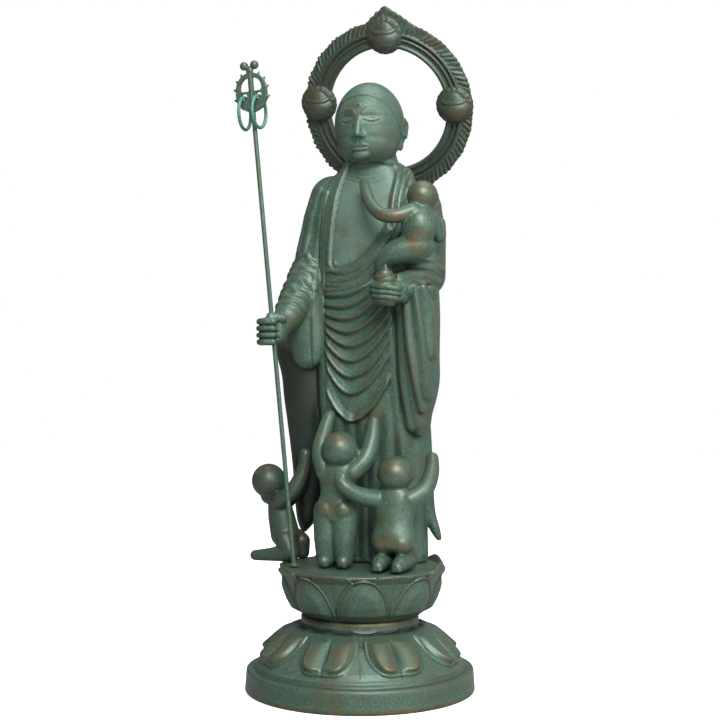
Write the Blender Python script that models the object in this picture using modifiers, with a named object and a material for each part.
"""Jizo statue: a robed figure with a child on its arm, on a lotus, with three children, a halo and a staff.

Blender 4.5 script, metres, +Z up. The figure faces -Y; the origin is the middle of the plinth's underside.
Each piece is shaped in millimetres and scaled to metres once, in publish(). The cast figures are made as
clay: balls, limbs and lofts are fused by a voxel remesh, their folds are carved by displacing the points,
and a decimate leaves the facets that the form needs.
"""

import math

import bmesh
import bpy
import numpy as np
from mathutils import Matrix, Vector

MM = 0.001
GAP = 0.3

# Plinth and lotus
PLINTH_RADIUS = 50.3
PLINTH_TOP_RADIUS = 49.7
PLINTH_HEIGHT = 10.0
COLLAR_RADIUS = 25.8
COLLAR_TOP = 33.0
LOTUS_RADIUS = 44.4
LOTUS_TOP_RADIUS = 30.2
SEAT_FOOT_RADIUS = 25.5
SEAT_RIM_RADIUS = 36.6
SEAT_TOP = 54.0
SEAT_SHIFT = 0.8
PETALS = 8
UPPER_PETAL_TURN = 18.5
LOWER_PETAL_TURN = -4.0
LATHE_STEPS = 56
PETAL_STEPS = 192
PETAL_ROW = 0.9
LOTUS_TRIANGLES = 900
SEAT_TRIANGLES = 1060

# Figure
FIGURE_HEIGHT = 214.0
CLAY_HEIGHT = 214.0
FIGURE_SCALE = FIGURE_HEIGHT / CLAY_HEIGHT
FIGURE_BACK = 18.0
FIGURE_BASE = SEAT_TOP + GAP
FIST_PLACE = (-34.3, -35.0, 102.1)
FIGURE_VOXEL = 1.2
FIGURE_TRIANGLES = 3800

# Children
CHILD_VOXEL = 0.9
CHILD_TRIANGLES = 420
STANDING_HEIGHT = 66.8
KNEELING_HEIGHT = 49.2
STAFF_CHILD_HEIGHT = 50.3
STANDING_PLACE = (-6.0, -12.5)
KNEELING_PLACE = (19.0, -12.0)
STAFF_CHILD_PLACE = (-35.8, 3.0)

# Halo
HALO_HEIGHT = 206.1 * FIGURE_SCALE
HALO_CENTRE = (2.0, 37.0, FIGURE_BASE + HALO_HEIGHT)
HALO_OUTER = 39.9
HALO_INNER = 28.2
HALO_TIP = 46.8
HALO_TIP_ANGLE = 86.5
HALO_LEAN = 20.0
HALO_STEPS = 36
JEWEL_RADIUS = 7.4
JEWEL_ORBIT = 33.2
JEWEL_ANGLES = (86.5, 172.0, 0.5)
TANG_THICKNESS = 3.0

# Staff
STAFF_FOOT = (-25.3, -15.0, SEAT_TOP + 1.5 * GAP)
STAFF_GRIP = (FIST_PLACE[0], FIST_PLACE[1] + FIGURE_BACK, FIGURE_BASE + FIST_PLACE[2] * FIGURE_SCALE)
STAFF_LENGTH = 217.5
ROD_RADIUS = 1.0
LOOP_HALF_WIDTH = 7.2
LOOP_TOP = 215.5
LOOP_BOTTOM = 198.0
RING_RADIUS = 6.9
RING_TUBE = 0.75
RING_HOLE_HEIGHT = 205.3
RING_HOLE_OFFSET = 3.35
RING_HOLE_RADIUS = RING_TUBE + 2 * GAP

BRONZE = "#53614f"
DARK_BRONZE = "#474e42"


# Scene helpers


def clear_scene():
    for thing in list(bpy.data.objects):
        bpy.data.objects.remove(thing, do_unlink=True)


def new_collection(name, visible=True):
    group = bpy.data.collections.new(name)
    bpy.context.scene.collection.children.link(group)
    group.hide_render = not visible
    return group


def linear(channel):
    return channel / 12.92 if channel <= 0.04045 else ((channel + 0.055) / 1.055) ** 2.4


def bronze(name, colour, roughness):
    material = bpy.data.materials.new(name)
    material.use_nodes = True
    shader = material.node_tree.nodes["Principled BSDF"]
    levels = [int(colour[i : i + 2], 16) / 255 for i in (1, 3, 5)]
    shader.inputs["Base Color"].default_value = (*[linear(level) for level in levels], 1)
    shader.inputs["Metallic"].default_value = 0.6
    shader.inputs["Roughness"].default_value = roughness
    return material


def baked(mesh, *modifiers):
    """A new mesh: this one with each (name, type, settings) modifier applied in turn."""
    helper = bpy.data.objects.new("helper", mesh)
    bpy.context.scene.collection.objects.link(helper)
    for name, kind, settings in modifiers:
        modifier = helper.modifiers.new(name, kind)
        for key, value in settings.items():
            setattr(modifier, key, value)
    graph = bpy.context.evaluated_depsgraph_get()
    result = bpy.data.meshes.new_from_object(helper.evaluated_get(graph))
    bpy.data.objects.remove(helper, do_unlink=True)
    return result


def mesh_of(bm):
    bmesh.ops.recalc_face_normals(bm, faces=bm.faces)
    mesh = bpy.data.meshes.new("clay")
    bm.to_mesh(mesh)
    bm.free()
    return mesh


def fused(bm, voxel, rounds):
    remesh = {"mode": "VOXEL", "voxel_size": voxel}
    soften = {"factor": 0.5, "iterations": rounds}
    return baked(mesh_of(bm), ("fuse", "REMESH", remesh), ("soften", "SMOOTH", soften))


def faceted(mesh, triangles):
    mesh.calc_loop_triangles()
    ratio = min(1.0, triangles / len(mesh.loop_triangles))
    return baked(mesh, ("facets", "DECIMATE", {"ratio": ratio, "use_collapse_triangulate": True}))


def points_of(mesh):
    points = np.empty(len(mesh.vertices) * 3, np.float32)
    mesh.vertices.foreach_get("co", points)
    return points.reshape(-1, 3).astype(float)


def normals_of(mesh):
    normals = np.empty(len(mesh.vertices) * 3, np.float32)
    mesh.vertices.foreach_get("normal", normals)
    return normals.reshape(-1, 3).astype(float)


def set_points(mesh, points):
    mesh.vertices.foreach_set("co", points.astype(np.float32).ravel())
    mesh.update()


def combined(mesh, others, operation):
    """The mesh after an exact Boolean with each of the others."""
    for other in others:
        cutter = bpy.data.objects.new("cutter", other)
        bpy.context.scene.collection.objects.link(cutter)
        settings = {"operation": operation, "solver": "EXACT", "object": cutter}
        mesh = baked(mesh, (operation.lower(), "BOOLEAN", settings))
        bpy.data.objects.remove(cutter, do_unlink=True)
    return mesh


def publish(name, mesh, place, material, group):
    """Scales the mesh from millimetres to metres and adds it to the part at its place."""
    mesh.transform(Matrix.Scale(MM, 4))
    mesh.materials.clear()
    mesh.materials.append(material)
    mesh.shade_smooth()
    mesh.name = name
    piece = bpy.data.objects.new(name, mesh)
    piece.location = Vector(place) * MM
    group.objects.link(piece)
    return piece


# Curves and profiles


def smooth_step(low, high, value):
    t = np.clip((value - low) / (high - low), 0, 1)
    return t * t * (3 - 2 * t)


def keyed(keys, at):
    """Smooth values between rows of (place, value, value...)."""
    keys = np.array(keys, float)
    places, rows = keys[:, 0], keys[:, 1:]
    slopes = np.gradient(rows, places, axis=0)
    at = np.asarray(at, float)
    i = np.clip(np.searchsorted(places, at) - 1, 0, len(places) - 2)
    span = (places[i + 1] - places[i])[:, None]
    t = (at[:, None] - places[i][:, None]) / span
    rise = rows[i + 1] - rows[i]
    ease = t * t * (3 - 2 * t)
    start = t * (1 - t) ** 2 * span * slopes[i]
    end = -t * t * (1 - t) * span * slopes[i + 1]
    return rows[i] + rise * ease + start + end


def path_distance(u, v, path, closed=False):
    """Distance from points (u, v) to a line of corners, positive on its left side."""
    corners = np.array(path, float)
    ends = np.roll(corners, -1, axis=0) if closed else corners[1:]
    best = np.full(len(u), 1e9)
    side = np.ones(len(u))
    for (au, av), (bu, bv) in zip(corners, ends):
        du, dv = bu - au, bv - av
        t = np.clip(((u - au) * du + (v - av) * dv) / (du * du + dv * dv), 0, 1)
        away = np.hypot(u - au - t * du, v - av - t * dv)
        left = np.where(du * (v - av) - dv * (u - au) >= 0, 1.0, -1.0)
        side = np.where(away < best, left, side)
        best = np.minimum(best, away)
    return best * side


def inside(u, v, outline):
    """True for the points (u, v) inside a closed outline."""
    corners = np.array(outline, float)
    within = np.zeros(len(u), bool)
    for (au, av), (bu, bv) in zip(corners, np.roll(corners, -1, axis=0)):
        spans = (av > v) != (bv > v)
        crossing = au + (v - av) / np.where(bv == av, 1.0, bv - av) * (bu - au)
        within ^= spans & (u < crossing)
    return within


def ridge(distance, half_width):
    """A round ridge: 1 on the line and 0 at half_width."""
    return 1 - smooth_step(0, half_width, np.abs(distance))


def lip(height, above, below):
    """A hanging fold: it swells over the length above and tucks under over the length below."""
    swell = 1 - smooth_step(0, above, height)
    tuck = smooth_step(-below, 0, height)
    return np.where(height >= 0, swell, tuck)


# Clay


def add_ball(bm, centre, radii, turn=0.0, segments=16):
    turned = Matrix.Rotation(math.radians(turn), 4, "X")
    place = Matrix.Translation(centre) @ turned @ Matrix.Diagonal((*radii, 1))
    bmesh.ops.create_uvsphere(bm, u_segments=segments, v_segments=segments // 2, radius=1, matrix=place)


def add_limb(bm, joints, segments=14):
    """A limb through joints (x, y, z, radius)."""
    for x, y, z, radius in joints:
        add_ball(bm, (x, y, z), (radius, radius, radius), segments=segments)
    for start, end in zip(joints, joints[1:]):
        a, b = Vector(start[:3]), Vector(end[:3])
        axis = b - a
        turned = axis.to_track_quat("Z", "Y").to_matrix().to_4x4()
        bmesh.ops.create_cone(
            bm,
            cap_ends=True,
            segments=segments,
            radius1=start[3],
            radius2=end[3],
            depth=axis.length,
            matrix=Matrix.Translation((a + b) / 2) @ turned,
        )


def add_loft(bm, rings):
    rows = [[bm.verts.new(point) for point in ring] for ring in rings]
    for low, high in zip(rows, rows[1:]):
        for i in range(len(low)):
            j = (i + 1) % len(low)
            bm.faces.new((low[i], low[j], high[j], high[i]))
    bm.faces.new(rows[0][::-1])
    bm.faces.new(rows[-1])


def add_column(bm, keys, squareness=2.0, step=2.5, points=40):
    """A loft of level sections. A key is (z, centre x, centre y, half width, front depth, back depth)."""
    low, high = keys[0][0], keys[-1][0]
    heights = np.linspace(low, high, max(2, round((high - low) / step)) + 1)
    angles = np.arange(points) * 2 * math.pi / points
    cos, sin = np.cos(angles), np.sin(angles)
    across = np.sign(cos) * np.abs(cos) ** (2 / squareness)
    along = np.sign(sin) * np.abs(sin) ** (2 / squareness)
    rings = []
    for z, (cx, cy, width, front, back) in zip(heights, keyed(keys, heights)):
        depth = np.where(sin < 0, front, back)
        rings.append(np.column_stack([cx + width * across, cy + depth * along, np.full(points, z)]))
    add_loft(bm, rings)


def mirrored(joints):
    return [(-x, *rest) for x, *rest in joints]


# Plinth and lotus


def lathe(profile, steps, axis="Z"):
    """Turns an open profile of (radius, height) points, or a closed one about Y, into a mesh."""
    bm = bmesh.new()
    flat = axis == "Y"
    row = [bm.verts.new((r, h, 0) if flat else (r, 0, h)) for r, h in profile]
    for a, b in zip(row, row[1:] + (row[:1] if flat else [])):
        bm.edges.new((a, b))
    mesh = bpy.data.meshes.new("profile")
    bm.to_mesh(mesh)
    bm.free()
    settings = {
        "axis": axis,
        "steps": steps,
        "render_steps": steps,
        "use_merge_vertices": True,
        "merge_threshold": 0.0001,
    }
    turned = bmesh.new()
    turned.from_mesh(baked(mesh, ("turn", "SCREW", settings)))
    return mesh_of(turned)


def petal_angle(x, y, turn):
    """Place across a petal's pitch, -1 to 1, for petals whose middles start at turn degrees from -Y."""
    pitch = 360 / PETALS
    angle = np.degrees(np.arctan2(x, -y)) - turn
    return ((angle + pitch / 2) % pitch - pitch / 2) / (pitch / 2)


def petal_depth(across, up, width, reach, point):
    """Millimetres inside the outline of an arch-shaped petal: across is -1 to 1 of its pitch, up 0 to 1."""
    u = np.abs(across) / width
    v = np.clip(up, 0, 2) / reach
    level = 1 - u**2 - v**point
    half_pitch, tall = 13.0, 20.7
    slope = np.hypot(2 * u / width / half_pitch, point * v ** (point - 1) / reach / tall)
    return level / np.maximum(slope, 0.02)


def upper_relief(points):
    """Height of the up-turned petals over the seat's turned form."""
    x, y, z = points.T
    up = (z - COLLAR_TOP) / (SEAT_TOP - COLLAR_TOP)
    front = petal_depth(petal_angle(x, y, UPPER_PETAL_TURN), up, 0.97, 0.9, 2.0)
    behind = petal_depth(petal_angle(x, y, UPPER_PETAL_TURN + 180 / PETALS), up, 0.98, 1.04, 2.2)
    relief = 1.4 * smooth_step(-0.5, 0.7, front) + 1.0 * smooth_step(0, 7, front)
    relief += 0.8 * smooth_step(-0.5, 0.8, behind) * (1 - smooth_step(-1.5, 0, front))
    return relief * smooth_step(COLLAR_TOP + 0.5, COLLAR_TOP + 4, z)


def rim_rise(points):
    """How far the petal tips stand above the seat's floor, most at the back."""
    x, y, z = points.T
    tip = 1 - smooth_step(0, 0.75, np.abs(petal_angle(x, y, UPPER_PETAL_TURN + 180 / PETALS)))
    rim = smooth_step(SEAT_RIM_RADIUS - 2.6, SEAT_RIM_RADIUS - 1.2, np.hypot(x, y))
    return tip * rim * smooth_step(SEAT_TOP - 4, SEAT_TOP, z) * (0.4 + 2.6 * smooth_step(-8, 6, y + 0.3 * x))


def lower_relief(points):
    """Height of the down-turned petals: two lobes each, over a skirt with a pointed petal in each gap."""
    x, y, z = points.T
    down = (COLLAR_TOP - 2.5 - z) / (COLLAR_TOP - PLINTH_HEIGHT - 4.0)
    across = petal_angle(x, y, LOWER_PETAL_TURN)
    petal = petal_depth(across, down, 0.95, 0.9, 4.0)
    lobes = ridge(np.abs(across) - 0.42, 0.46)
    relief = 0.9 * smooth_step(-0.4, 0.9, petal) + 1.9 * lobes * smooth_step(0, 4, petal)
    gap = petal_angle(x, y, LOWER_PETAL_TURN + 180 / PETALS)
    spur = ridge(gap, 0.2 + 0.5 * smooth_step(0.3, 1, down)) * smooth_step(0.3, 0.6, down)
    skirt = 1.5 * smooth_step(0.72, 0.98, down)
    relief = np.maximum(relief, 0.7 * spur) + skirt
    low, high = PLINTH_HEIGHT + 0.6, COLLAR_TOP - 6.5
    return relief * smooth_step(low, low + 0.8, z) * (1 - smooth_step(high, high + 2.5, z))


def outward(points):
    flat = points * np.array([1, 1, 0])
    return flat / np.maximum(np.linalg.norm(flat, axis=1), 1e-6)[:, None]


def refined(profile, row):
    """The profile with its long steps divided into rows."""
    fine = [profile[0]]
    for (ar, ah), (br, bh) in zip(profile, profile[1:]):
        pieces = max(1, round(math.hypot(br - ar, bh - ah) / row)) if ar and br else 1
        fine += [(ar + (br - ar) * i / pieces, ah + (bh - ah) * i / pieces) for i in range(1, pieces + 1)]
    return fine


def between(shares, start, end):
    """Points on a wall from start to end, both (radius, height), given as shares of the way."""
    return [(start[0] + (end[0] - start[0]) * r, start[1] + (end[1] - start[1]) * h) for r, h in shares]


def lower_lotus(triangles):
    shares = [(0, 0), (0.155, 0.208), (0.394, 0.416), (0.648, 0.623), (0.845, 0.831), (1, 1)]
    wall = between(shares, (LOTUS_RADIUS, PLINTH_HEIGHT + 2), (LOTUS_TOP_RADIUS, COLLAR_TOP - 5.6))
    profile = [
        (0, COLLAR_TOP),
        (COLLAR_RADIUS - 0.5, COLLAR_TOP),
        (COLLAR_RADIUS, COLLAR_TOP - 0.6),
        (COLLAR_RADIUS, COLLAR_TOP - 3.7),
        (LOTUS_TOP_RADIUS - 2.0, COLLAR_TOP - 4.0),
        *reversed(wall),
        (LOTUS_RADIUS - 0.2, PLINTH_HEIGHT + 0.4),
        (LOTUS_RADIUS - 1.1, PLINTH_HEIGHT),
        (LOTUS_RADIUS - 1.9, PLINTH_HEIGHT - 2),
        (0, PLINTH_HEIGHT - 2),
    ]
    mesh = lathe(refined(profile, PETAL_ROW), PETAL_STEPS)
    points = points_of(mesh)
    set_points(mesh, points + outward(points) * lower_relief(points)[:, None])
    return faceted(mesh, triangles)


def plinth_mesh():
    profile = [
        (0, PLINTH_HEIGHT),
        (PLINTH_TOP_RADIUS - 0.8, PLINTH_HEIGHT),
        (PLINTH_TOP_RADIUS, PLINTH_HEIGHT - 0.8),
        (PLINTH_RADIUS, 0.8),
        (PLINTH_RADIUS - 0.8, 0),
        (0, 0),
    ]
    return combined(lathe(profile, LATHE_STEPS), [lower_lotus(LOTUS_TRIANGLES)], "UNION")


def seat_mesh():
    shares = [(0.126, 0.038), (0.333, 0.186), (0.514, 0.352), (0.622, 0.519), (0.703, 0.686), (0.793, 0.838)]
    wall = between(shares, (SEAT_FOOT_RADIUS, COLLAR_TOP), (SEAT_RIM_RADIUS, SEAT_TOP))
    profile = [
        (0, SEAT_TOP),
        (SEAT_RIM_RADIUS - 3.0, SEAT_TOP),
        (SEAT_RIM_RADIUS - 1.4, SEAT_TOP),
        (SEAT_RIM_RADIUS - 0.8, SEAT_TOP - 0.3),
        (SEAT_RIM_RADIUS - 0.8, SEAT_TOP - 1.0),
        *reversed(wall),
        (SEAT_FOOT_RADIUS, COLLAR_TOP + GAP),
        (0, COLLAR_TOP + GAP),
    ]
    mesh = lathe(refined(profile, PETAL_ROW), PETAL_STEPS)
    points = points_of(mesh)
    moved = points + outward(points) * upper_relief(points)[:, None]
    moved[:, 2] += rim_rise(points)
    set_points(mesh, moved)
    return faceted(mesh, SEAT_TRIANGLES)


# Figure: clay, in its own frame, with the base at z = 0 and the face towards -Y


def fist_limbs():
    """Forearm's end, four curled fingers and the thumb, round the staff."""
    x, y, z = FIST_PLACE
    limbs = [[(-31.5, -24, 109, 6.0), (x + 1, y + 4.0, z + 1.5, 4.8)]]
    for rise in (4.5, 1.6, -1.4, -4.3):
        knuckles = [(x + 1.2, y - 3.2), (x - 2.6, y - 3.9), (x - 5.6, y - 1.4), (x - 5.0, y + 2.4)]
        limbs.append([(kx, ky, z + rise, 1.75) for kx, ky in knuckles])
    limbs.append([(x + 4.5, y + 0.5, z + 6.0, 2.0), (x - 0.5, y - 2.6, z + 7.0, 1.7)])
    return limbs


def palm_limbs():
    """Four fingers round the front of the cupped hand, the thumb, and the jewel's point."""
    limbs = []
    for z in (113.6, 115.9, 118.2, 120.4):
        finger = [(20.4, -32.6, z - 0.3), (16, -35.6, z), (11.3, -34.0, z + 0.6), (9.8, -30.5, z + 1.2)]
        limbs.append([(*place, 1.45) for place in finger])
    limbs.append([(21.6, -29.0, 117, 2.0), (20.6, -30.6, 121.5, 1.6)])
    limbs.append([(15.8, -31.2, 125.2, 2.2), (15.8, -31.2, 128.6, 0.6)])
    return limbs


FIST_BALLS = [((FIST_PLACE[0] + 0.6, FIST_PLACE[1] + 2.6, FIST_PLACE[2]), (5.0, 5.2, 6.0))]
FIST_LIMBS = fist_limbs()
PALM_BALLS = [((15.8, -30.6, 117.2), (6.3, 4.8, 5.0)), ((15.8, -31.2, 123.4), (4.2, 4.2, 3.9))]
PALM_LIMBS = palm_limbs()
CHILD_BALLS = [
    ((28.3, -18, 161.2), (6.9, 7.0, 6.8)),
    ((27.4, -21, 147.5), (7.8, 7, 9.5)),
    ((26, -20, 139.2), (8.0, 7.5, 6.6)),
]
CHILD_LIMBS = [
    [(28.2, -19, 156, 4), (27.5, -19.5, 150, 5)],
    [(26, -21, 138.5, 6.6), (18, -23.5, 136.5, 5.4), (12.8, -23, 133, 4.4), (11.8, -21, 127.5, 3.6)],
    [(25, -23.5, 153.6, 3.6), (18.5, -26.6, 152.0, 3.3), (12.5, -27.4, 152.8, 3.0)],
    [(12.5, -27.4, 152.8, 3), (7.6, -25.4, 157.4, 2.7), (3.8, -20.6, 163.2, 2.4), (1.7, -17.4, 167.4, 2.2)],
    [(32, -16, 152, 3.4), (34.4, -12, 144, 3.1), (33.2, -8, 150, 3)],
]


def add_robe(bm):
    rows = [
        (0, 1.2, 0, 24.3, 12.5, 13.0),
        (20, 1.2, 0, 23.8, 12.0, 12.5),
        (45, 0.8, 0, 23.4, 13.0, 13.0),
        (62, 0, 0, 25.0, 15.5, 14.0),
        (90, 0, 0, 26.5, 17.5, 15.0),
        (115, 0, 0, 26.5, 18.0, 15.0),
        (135, 0, 0, 26.0, 16.5, 14.5),
        (150, 0, 0, 26.5, 15.0, 14.0),
        (161, 0, 0, 25.0, 13.0, 13.0),
        (169, 0, 0, 20.5, 10.8, 11.5),
        (175, 0, 0, 14.0, 10.2, 10.8),
        (181, 0, 0, 11.2, 10.4, 10.0),
        (190, 0, 0, 10.5, 9.0, 9.5),
    ]
    add_column(bm, rows, 2.4)
    collar = [(-19.5, -5, 165, 3), (-15, 3, 172.5, 3.2), (-8.5, 9, 176, 3.2), (0, 11, 177, 3.2)]
    add_limb(bm, collar)
    add_limb(bm, mirrored(collar))
    for side in (-1, 1):
        add_limb(bm, [(side * 8, -9, 3.2, 4.6), (side * 8.5, -17, 2.4, 3.6)])


def add_head(bm):
    add_ball(bm, (0, -3.5, 195.3), (15, 17.3, 18.7), segments=28)
    add_ball(bm, (0, -6.5, 187), (12.2, 13, 10.5), segments=24)
    add_limb(bm, [(0, -19.2, 198, 1.4), (0, -21.0, 193, 1.6), (0, -22.2, 189.6, 1.9)])
    add_limb(bm, [(-2.2, -20.2, 189.2, 1.4), (2.2, -20.2, 189.2, 1.4)])
    add_limb(bm, [(-2.6, -18.2, 184.6, 1.3), (0, -19.2, 184.8, 1.5), (2.6, -18.2, 184.6, 1.3)])
    add_ball(bm, (0, -16.8, 180.4), (4.2, 2.6, 2.6))
    for side in (-1, 1):
        add_ball(bm, (side * 14.6, -0.4, 191.2), (2.0, 3.6, 5.2))
        add_ball(bm, (side * 13.4, -1.2, 184.2), (1.9, 2.6, 5.0))


def add_right_arm(bm):
    """The arm that holds the staff, on the viewer's left, with its hanging and its long back sleeve."""
    upper = [(-18.4, 1, 162.4, 10.6), (-21.5, 0.5, 153, 10.8), (-23.8, 0, 146, 10.2), (-26.6, -3, 132, 9.6)]
    add_limb(bm, [*upper, (-29.5, -14, 118, 8.5), (-31.5, -24, 109, 6.4)])
    hanging = [
        (86, -25.6, -14, 2.6, 2.2, 2.2),
        (88.5, -25.7, -14, 5.4, 4.4, 4.4),
        (93, -25.8, -13.5, 7.4, 6, 6),
        (100, -26, -13, 8.6, 7, 7),
        (108, -26.5, -12.5, 9, 7.8, 7.8),
        (120, -28, -12, 9, 9, 9),
    ]
    add_column(bm, hanging)
    back = [
        (10.5, -32.5, -0.5, 1.2, 1.2, 1.2),
        (14, -31.5, -0.5, 3.4, 3.5, 3.5),
        (25, -30.2, -0.5, 6.4, 5.5, 5.5),
        (40, -29.4, -1, 7.8, 6.5, 6.5),
        (60, -29.4, -3, 9.0, 8.0, 8.0),
        (72, -29.6, -4, 10.6, 9, 9),
        (83, -30.0, -4, 11.4, 9.5, 9.5),
        (93, -31.0, -4, 13.0, 10, 10),
        (100, -31.0, -5, 13.5, 10.5, 10.5),
        (112, -29.5, -5, 11, 11, 11),
    ]
    add_column(bm, back)
    for centre, radii in FIST_BALLS:
        add_ball(bm, centre, radii)
    for limb in FIST_LIMBS:
        add_limb(bm, limb, segments=10)


def add_left_arm(bm):
    """The arm that holds the jewel and the child, on the viewer's right, with its sleeve and its tail."""
    upper = [(20, 1, 157, 12), (23, 2, 146, 10.5), (23.5, 1, 128, 10)]
    add_limb(bm, [*upper, (21.5, -13, 122, 8), (19, -24, 120.5, 6)])
    hanging = [
        (56, 24, -8, 1.5, 2, 2),
        (60, 24, -8, 4.4, 5, 5),
        (66, 24, -8, 5.6, 7, 7),
        (72, 24.2, -8, 7.2, 9, 9),
        (80, 24.6, -8.5, 8.4, 11, 11),
        (92, 24.8, -9.5, 8.4, 12, 12),
        (110, 25, -10.5, 8.6, 12.5, 12.5),
        (122, 24.5, -12, 9, 12, 12),
    ]
    add_column(bm, hanging)
    tail = [
        (9, 29.8, 6, 0.8, 1, 1),
        (13, 28.1, 6, 1.8, 2.5, 2.5),
        (20, 25.4, 5.5, 2.6, 4, 4),
        (32, 22.8, 4, 4.2, 6, 6),
        (48, 21, 3, 5.5, 8, 8),
        (70, 19.5, 1, 6, 10, 10),
    ]
    add_column(bm, tail)
    for centre, radii in PALM_BALLS + CHILD_BALLS:
        add_ball(bm, centre, radii)
    for limb in PALM_LIMBS + CHILD_LIMBS:
        add_limb(bm, limb, segments=10)


def figure_clay():
    bm = bmesh.new()
    add_robe(bm)
    add_head(bm)
    add_right_arm(bm)
    add_left_arm(bm)
    return bm


# Figure: carving

CHEST = [
    (-9, 178),
    (-13, 171),
    (-17.5, 163),
    (-19.5, 150),
    (-19.5, 138),
    (-17, 131),
    (-12, 128.8),
    (-6, 129.5),
    (1, 132.5),
    (8, 138),
    (12.5, 146),
    (14, 156),
    (14, 166),
    (11.5, 174),
    (9.5, 179),
]
ARM_FOLDS = [
    [(-27, 165), (-31, 150), (-28, 135), (-20, 118)],
    [(-23, 163), (-25, 148), (-22, 132), (-17, 120)],
    [(-28.5, 158), (-32, 145), (-31, 132), (-24, 116)],
]
SLEEVE_FOLDS = [
    [(17.5, 118), (18.5, 95), (20, 72), (21.5, 60)],
    [(22, 121), (23, 100), (25, 84), (29, 72)],
    [(26, 122), (28, 105), (29.5, 88), (30.5, 76)],
    [(29, 124), (31.5, 110), (32, 92)],
]
FOREARM = [(-27, -5, 130), (-31, -22, 111)]
FOREARM_RING = 4.6
U_FOLDS = range(-2, 8)
HEM_FOLD = 7


def u_fold(k, x):
    """Height of the hanging fold number k above the figure's base."""
    middle = -7 + 0.5 * k
    left = max(0.5, 2.5 + 2.9 * k)
    right = 9 + 2.3 * k if k >= 0 else 6.3
    rise = np.where(x < middle, left, right)
    return 113.5 - 5.3 * k - 0.25 * k * k + rise * (np.abs(x - middle) / 15) ** 1.9


def carve_front(x, y, z, front):
    """The robe's front: hanging folds, the hem and the skirt below it."""
    panel = smooth_step(-20, -17.5, x) * (1 - smooth_step(12, 14.5, x)) * front
    body = panel * (1 - smooth_step(-10, -6, y))
    relief = np.zeros(len(x))
    for k in U_FOLDS:
        height = z - u_fold(k, x)
        relief = np.maximum(relief, (1.9 if k < HEM_FOLD else 2.2) * lip(height, 4.8, 1.3))
    above_hem = smooth_step(-1.1, 0, z - u_fold(HEM_FOLD, x))
    relief = relief * above_hem * (1 - smooth_step(126, 130, z))
    border = np.interp(z, [45, 120], [17, 13])
    strip = ridge(x - border, 2.6) * smooth_step(44, 48, z) * (1 - smooth_step(118, 122, z))
    return body * relief + 1.2 * front * strip


def carve_chest(x, z, front):
    """The bare chest is sunk, with the lapel's raised edge round it."""
    away = np.abs(path_distance(x, z, CHEST, closed=True))
    within = inside(x, z, CHEST)
    away = np.where(within, -away, away)
    sunk = -1.5 * (1 - smooth_step(-1.4, 0, away))
    lapel = 1.2 * ridge(away - 1.6, 2.0) + 0.8 * ridge(away - 6, 1.8) * (x > -2)
    return front * (sunk + lapel) * smooth_step(124, 128, z)


def carve_sleeves(x, y, z, front):
    relief = np.zeros(len(x))
    for fold in ARM_FOLDS:
        relief = np.maximum(relief, 1.3 * ridge(path_distance(x, z, fold), 3.0))
    for fold in SLEEVE_FOLDS:
        relief = np.maximum(relief, 1.6 * ridge(path_distance(x, z, fold), 2.8))
    return front * relief


def carve_forearm(points):
    """Rings of cloth pushed up along the forearm that holds the staff."""
    start, end = np.array(FOREARM[0]), np.array(FOREARM[1])
    axis = (end - start) / np.linalg.norm(end - start)
    along = (points - start) @ axis
    away = np.linalg.norm(points - start - along[:, None] * axis, axis=1)
    ring = lip(FOREARM_RING - along % FOREARM_RING, FOREARM_RING, 0.1)
    length = np.linalg.norm(end - start)
    zone = smooth_step(0, 3, along) * (1 - smooth_step(length - 2, length, along))
    return 1.2 * ring * zone * (1 - smooth_step(10, 12, away))


def carve_pleats(x, y, z, nx, ny):
    """Soft upright pleats on the skirt below the hem and down the back."""
    angle = np.arctan2(x, -y)
    low = 1 - smooth_step(58, 72, z)
    behind = smooth_step(0.1, 0.5, ny) * (1 - smooth_step(140, 165, z))
    wave = np.cos(18 * angle)
    return 0.5 * wave * np.maximum(low, behind) * smooth_step(0, 3, z)


def carve_figure(mesh):
    points, normals = points_of(mesh), normals_of(mesh)
    x, y, z = points.T
    nx, ny, nz = normals.T
    front = smooth_step(0.15, 0.5, -ny)
    body = 1 - smooth_step(177, 179, z)
    for balls, limbs in ((CHILD_BALLS, CHILD_LIMBS), (FIST_BALLS, FIST_LIMBS), (PALM_BALLS, PALM_LIMBS)):
        body = body * smooth_step(0, 1.6, clay_distance(points, balls, limbs))
    relief = carve_front(x, y, z, front) + carve_chest(x, z, front)
    relief += carve_sleeves(x, y, z, smooth_step(0.0, 0.35, -ny))
    relief += carve_pleats(x, y, z, nx, ny) + carve_forearm(points)
    set_points(mesh, points + normals * (relief * body)[:, None])


def clay_distance(points, balls, limbs):
    """Distance from each point to the skin of these balls and limbs, negative inside them."""
    best = np.full(len(points), 1e9)
    for centre, radii in balls:
        scaled = (points - np.array(centre)) / np.array(radii)
        best = np.minimum(best, (np.linalg.norm(scaled, axis=1) - 1) * min(radii))
    for joints in limbs:
        for start, end in zip(joints, joints[1:]):
            a, b = np.array(start[:3], float), np.array(end[:3], float)
            t = np.clip((points - a) @ (b - a) / ((b - a) @ (b - a)), 0, 1)
            radius = start[3] + (end[3] - start[3]) * t
            best = np.minimum(best, np.linalg.norm(points - a - t[:, None] * (b - a), axis=1) - radius)
    return best


def figure_mesh(voxel, triangles):
    mesh = fused(figure_clay(), voxel, 2)
    carve_figure(mesh)
    mesh = faceted(mesh, triangles)
    scale = FIGURE_HEIGHT / points_of(mesh)[:, 2].max()
    mesh.transform(Matrix.Diagonal((1, 1, scale, 1)))
    points = points_of(mesh)
    points[:, 2] = np.maximum(points[:, 2], 0)
    set_points(mesh, points)
    return mesh


# Children, each in its own frame, with the origin on the seat and the back towards -Y


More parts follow.
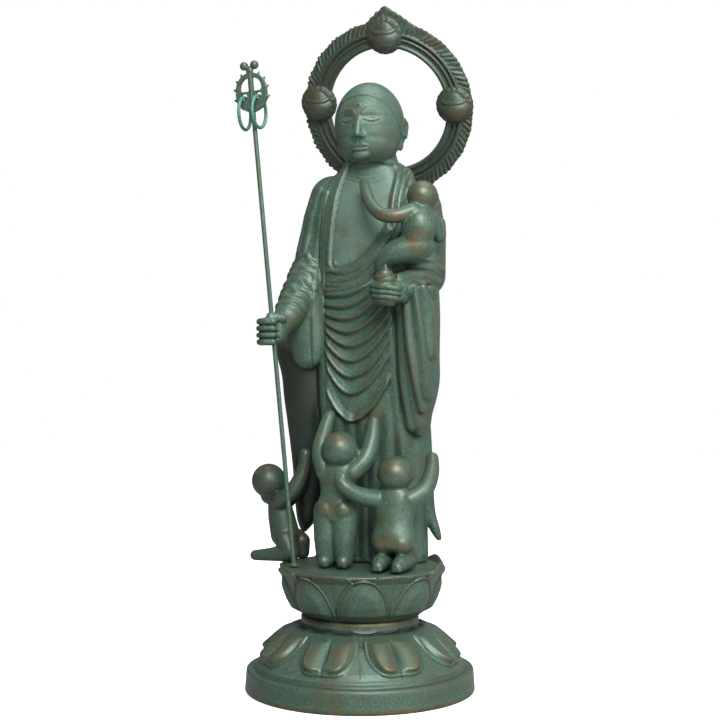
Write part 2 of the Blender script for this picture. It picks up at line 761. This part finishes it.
def add_child_legs(bm, hips, knees, ankles, toes, shift=0.0):
    for side in (-1, 1):
        add_limb(bm, [(side * x + shift, y, z, r) for x, y, z, r in (hips, knees, ankles, toes)])


def add_child_head(bm, x, y, z, radius):
    add_ball(bm, (x, y, z), (radius, radius * 1.02, radius), segments=20)
    for side in (-1, 1):
        add_ball(bm, (x + side * radius * 0.97, y + 0.8, z - 1), (1.0, 1.5, 2.0))
    add_ball(bm, (x, y + 1, z - radius * 0.9), (radius * 0.55, radius * 0.5, radius * 0.5))


def standing_clay():
    bm = bmesh.new()
    add_child_legs(bm, (3.8, 1, 24, 5.6), (4, -0.5, 13, 4.6), (4.2, 0, 4, 3.6), (4.3, -2.6, 2.4, 2.4), -1.4)
    for side in (-1, 1):
        add_ball(bm, (side * 3.6 - 1.0, -2.5, 25), (5, 5, 5))
    add_ball(bm, (-0.7, 0, 30), (8.4, 6, 9))
    add_ball(bm, (0, 1, 38), (8.0, 5.6, 7.2))
    add_child_head(bm, 0.5, 1, 51, 7.8)
    add_limb(bm, [(-6.5, 1, 41, 3.2), (-9.5, 4, 50, 3.0), (-8.8, 9.5, 60, 2.7), (-8, 12.6, 65, 2.4)])
    add_limb(bm, [(6.5, 1, 41, 3.2), (11.5, 4, 47, 3.0), (13, 8.5, 56, 2.8), (12.8, 12, 63, 2.5)])
    return bm


def kneeling_clay():
    bm = bmesh.new()
    add_child_legs(bm, (4, 0, 12, 5.0), (5, 5, 4.6, 4.3), (4.5, -6, 3.5, 3.2), (4.3, -9.5, 2.6, 2.3))
    for side in (-1, 1):
        add_ball(bm, (side * 3.6, -3, 12), (4.6, 4.6, 4.6))
    add_ball(bm, (0, -1, 14), (8.4, 6.5, 6))
    add_ball(bm, (0, 0, 21), (8.0, 6, 7))
    add_ball(bm, (0, 1, 28), (8.4, 5.5, 6))
    add_child_head(bm, 0, 2, 41, 7.5)
    add_limb(bm, [(6.5, 1, 30, 3.2), (12, 5, 34, 3.0), (13.8, 10.5, 41, 2.8), (13, 15, 47.5, 2.6)])
    add_limb(bm, [(-6.5, 1, 30, 3.2), (-13, -4, 31.5, 3.0), (-18.5, -8.2, 35, 2.6), (-21.5, -8.6, 39, 2.3)])
    return bm


def staff_child_clay():
    """This child faces +X, towards the figure."""
    bm = bmesh.new()
    add_child_head(bm, -7.5, 0, 36.5, 7.7)
    add_ball(bm, (-3, 0, 24), (5.5, 6.5, 6))
    add_ball(bm, (-1, 0, 17), (6, 6.5, 7))
    add_ball(bm, (0, 0, 11), (6.5, 7, 6))
    add_limb(bm, [(1, -4, 10, 4.5), (4, -5, 4.4, 4.3), (-5.5, -5, 3.1, 3.0), (-12.8, -5, 2.5, 2.4)])
    add_limb(bm, [(1, 4, 11, 4.5), (6, 4, 8.5, 4), (6.5, 4, 3.4, 3.2)])
    add_limb(bm, [(0, -5, 26, 3), (6, -4, 33, 2.8), (9.5, -2, 41, 2.6), (10, -2, 48, 2.6)])
    add_limb(bm, [(0, 4, 26, 3), (5, 3, 32, 2.8), (8, 1.5, 40, 2.6), (9, 1, 45, 2.6)])
    return bm


def child_mesh(bm, voxel, triangles, height):
    mesh = faceted(fused(bm, voxel, 2), triangles)
    points = points_of(mesh)
    points[:, 2] = np.maximum(points[:, 2] - points[:, 2].min(), 0)
    set_points(mesh, points * height / points[:, 2].max())
    return mesh


# Halo


def halo_ring(steps):
    section = [
        (HALO_INNER, -1.3),
        (HALO_INNER + 1.2, -2.4),
        (HALO_INNER + 2.4, -1.6),
        (HALO_INNER + 5.0, -1.6),
        (HALO_INNER + 6.2, -2.5),
        (HALO_INNER + 7.6, -1.8),
        (HALO_OUTER, -0.9),
        (HALO_OUTER, 0.9),
        (HALO_INNER + 6.2, 2.2),
        (HALO_INNER, 1.3),
    ]
    mesh = lathe(section, steps, axis="Y")
    mesh.transform(Matrix.Rotation(math.radians(90 - HALO_TIP_ANGLE), 4, "Y"))
    points = points_of(mesh)
    radius = np.hypot(points[:, 0], points[:, 2])
    angle = np.abs(np.arctan2(points[:, 2], points[:, 0]) - math.radians(HALO_TIP_ANGLE))
    outer = smooth_step(34, HALO_OUTER, radius)
    ogee = np.maximum(HALO_TIP / (np.cos(angle) + np.sin(angle)) - HALO_OUTER, 0) * (angle < 0.5)
    stretch = 1 + outer * ogee / np.maximum(radius, 1)
    points[:, 0] *= stretch
    points[:, 2] *= stretch
    set_points(mesh, points)
    return mesh


def jewel(steps):
    """An onion-shaped jewel with its point upwards, flattened front to back."""
    r = JEWEL_RADIUS
    profile = [(0, 1.28), (0.2, 1.06), (0.62, 0.78), (0.96, 0.3), (1.0, -0.15), (0.72, -0.72), (0, -1)]
    mesh = lathe([(a * r, h * r) for a, h in profile], steps)
    mesh.transform(Matrix.Diagonal((1, 0.62, 1, 1)))
    return mesh


def tang():
    """The strip that holds the halo to the figure's back: (y, z) places from the halo's centre."""
    bm = bmesh.new()
    ring_end = [(10.8, -30.0), (13.6, -38.0)]
    back_end = [(12.0, -43.0), (1.4, -51.0), (-2.2, -55.0), (-2.4, -61.0)]
    route = ring_end + [(y, z * FIGURE_SCALE) for y, z in back_end]
    rings = []
    for y, z in reversed(route):
        low, high = y - TANG_THICKNESS / 2, y + TANG_THICKNESS / 2
        rings.append([(-4, low, z), (4, low, z), (4, high, z), (-4, high, z)])
    add_loft(bm, rings)
    return mesh_of(bm)


def halo_mesh(steps):
    mesh = halo_ring(steps)
    extras = []
    for degrees in JEWEL_ANGLES:
        angle = math.radians(degrees)
        stone = jewel(10)
        place = (JEWEL_ORBIT * math.cos(angle), -1.0, JEWEL_ORBIT * math.sin(angle))
        stone.transform(Matrix.Translation(place))
        extras.append(stone)
    mesh = combined(mesh, extras, "UNION")
    mesh.transform(Matrix.Rotation(math.radians(HALO_LEAN), 4, "X"))
    return combined(mesh, [tang()], "UNION")


# Staff


def staff_axis():
    foot, grip = Vector(STAFF_FOOT), Vector(STAFF_GRIP)
    return (grip - foot).normalized()


def staff_turn():
    """Turns the staff's own frame, with the rod up +Z and the loop in XZ, onto the sloping rod."""
    up = staff_axis()
    across = (Vector((1, 0, 0)) - up * up.x).normalized()
    return Matrix((across, up.cross(across), up)).transposed().to_4x4()


def loop_outline(points):
    """The head's outer outline: an arch over a pointed plate."""
    half = []
    for i in range(points + 1):
        t = math.pi / 2 * i / points
        half.append((LOOP_HALF_WIDTH * math.sin(t), 207.5 + (LOOP_TOP - 207.5) * math.cos(t)))
    half += [(LOOP_HALF_WIDTH, 203.5), (LOOP_HALF_WIDTH - 2.2, 200.0)]
    half += [(2.2, LOOP_BOTTOM + 0.6), (0, LOOP_BOTTOM)]
    return half + [(-x, z) for x, z in half[-2:0:-1]]


def opening_outline(side, points):
    """One of the two openings beside the central rod."""
    low, high = 207.4, LOOP_TOP - 2.2
    outer = LOOP_HALF_WIDTH - 2.3
    corners = [(1.1, low), (outer - 0.5, low), (outer, low + 1.2)]
    for i in range(1, points + 1):
        t = math.pi / 2 * i / points
        corners.append((1.1 + (outer - 1.1) * math.cos(t), low + 1.2 + (high - low - 1.2) * math.sin(t)))
    return [(side * x, z) for x, z in corners]


def plate(outline, half_thickness):
    bm = bmesh.new()
    rings = [[(x, y, z) for x, z in outline] for y in (-half_thickness, half_thickness)]
    add_loft(bm, rings)
    return mesh_of(bm)


def cylinder(start, end, radius, segments):
    bm = bmesh.new()
    a, b = Vector(start), Vector(end)
    turned = (b - a).to_track_quat("Z", "Y").to_matrix().to_4x4()
    bmesh.ops.create_cone(
        bm,
        cap_ends=True,
        segments=segments,
        radius1=radius,
        radius2=radius,
        depth=(b - a).length,
        matrix=Matrix.Translation((a + b) / 2) @ turned,
    )
    return mesh_of(bm)


def ball(centre, radius, segments=10):
    bm = bmesh.new()
    add_ball(bm, centre, (radius, radius, radius), segments=segments)
    return mesh_of(bm)


def ring_holes():
    """Through holes for the two rings, drilled along each ring's tube where it passes the plate."""
    holes = []
    for side in (-1, 1):
        x = side * RING_HOLE_OFFSET
        start, end = (x, -3, RING_HOLE_HEIGHT), (x, 3, RING_HOLE_HEIGHT)
        holes.append(cylinder(start, end, RING_HOLE_RADIUS, 14))
    return holes


def staff_mesh():
    head = plate(loop_outline(6), 0.8)
    openings = [plate(opening_outline(side, 4), 3) for side in (-1, 1)]
    head = combined(head, openings + ring_holes(), "DIFFERENCE")
    rod = lathe([(0, 203), (ROD_RADIUS, 203), (ROD_RADIUS, 1.2), (2.2, 0.9), (2.2, 0), (0, 0)], 10)
    middle = cylinder((0, 0, 202), (0, 0, LOOP_TOP + 1), ROD_RADIUS, 10)
    lobes = [ball((side * 2.4, 0, STAFF_LENGTH + 1.2), 1.9) for side in (-1, 1)]
    neck = ball((0, 0, LOOP_TOP + 0.9), 2.0)
    return combined(head, [rod, middle, neck, *lobes], "UNION")


def staff_ring_mesh():
    bm = bmesh.new()
    around, tube = 20, 5
    rows = []
    for i in range(around):
        a = 2 * math.pi * i / around
        row = []
        for j in range(tube):
            b = 2 * math.pi * j / tube
            r = RING_RADIUS + RING_TUBE * math.cos(b)
            row.append(bm.verts.new((RING_TUBE * math.sin(b), r * math.sin(a), r * math.cos(a))))
        rows.append(row)
    for i in range(around):
        for j in range(tube):
            k, m = (i + 1) % around, (j + 1) % tube
            bm.faces.new((rows[i][j], rows[k][j], rows[k][m], rows[i][m]))
    return mesh_of(bm)


def in_staff(x, y, z):
    return Vector(STAFF_FOOT) + staff_turn() @ Vector((x, y, z))


# Assembly


def fist_bore():
    """The staff's passage through the fist, in the figure's frame."""
    to_figure = Vector((0, FIGURE_BACK, FIGURE_BASE))
    reach = (Vector(STAFF_GRIP) - Vector(STAFF_FOOT)).length
    low, high = in_staff(0, 0, reach - 14.3) - to_figure, in_staff(0, 0, reach + 19.7) - to_figure
    return cylinder(low, high, ROD_RADIUS + GAP + 0.05, 16)


def build():
    clear_scene()
    group = new_collection("jizo_statue")
    body = bronze("patinated_bronze", BRONZE, 0.45)
    dark = bronze("dark_bronze", DARK_BRONZE, 0.5)
    publish("plinth", plinth_mesh(), (0, 0, 0), body, group)
    publish("lotus_seat", seat_mesh(), (SEAT_SHIFT, 0, 0), body, group)
    figure = combined(figure_mesh(FIGURE_VOXEL, FIGURE_TRIANGLES), [fist_bore()], "DIFFERENCE")
    publish("jizo_with_child", figure, (0, FIGURE_BACK, FIGURE_BASE), body, group)
    children = [
        ("child_standing", standing_clay(), STANDING_HEIGHT, STANDING_PLACE),
        ("child_kneeling", kneeling_clay(), KNEELING_HEIGHT, KNEELING_PLACE),
        ("child_at_staff", staff_child_clay(), STAFF_CHILD_HEIGHT, STAFF_CHILD_PLACE),
    ]
    for name, clay, height, (x, y) in children:
        mesh = child_mesh(clay, CHILD_VOXEL, CHILD_TRIANGLES, height)
        publish(name, mesh, (x, y, SEAT_TOP + GAP), body, group)
    publish("halo", halo_mesh(HALO_STEPS), HALO_CENTRE, dark, group)
    staff = staff_mesh()
    staff.transform(staff_turn())
    publish("staff", staff, STAFF_FOOT, body, group)
    for name, side, turn in (("staff_ring_left", -1, 0), ("staff_ring_right", 1, -4)):
        ring = staff_ring_mesh()
        ring.transform(Matrix.Rotation(math.radians(turn), 4, "Z"))
        drop = RING_RADIUS + GAP
        hole = in_staff(side * RING_HOLE_OFFSET, 0, RING_HOLE_HEIGHT)
        publish(name, ring, hole - Vector((0, 0, drop)), body, group)


build()
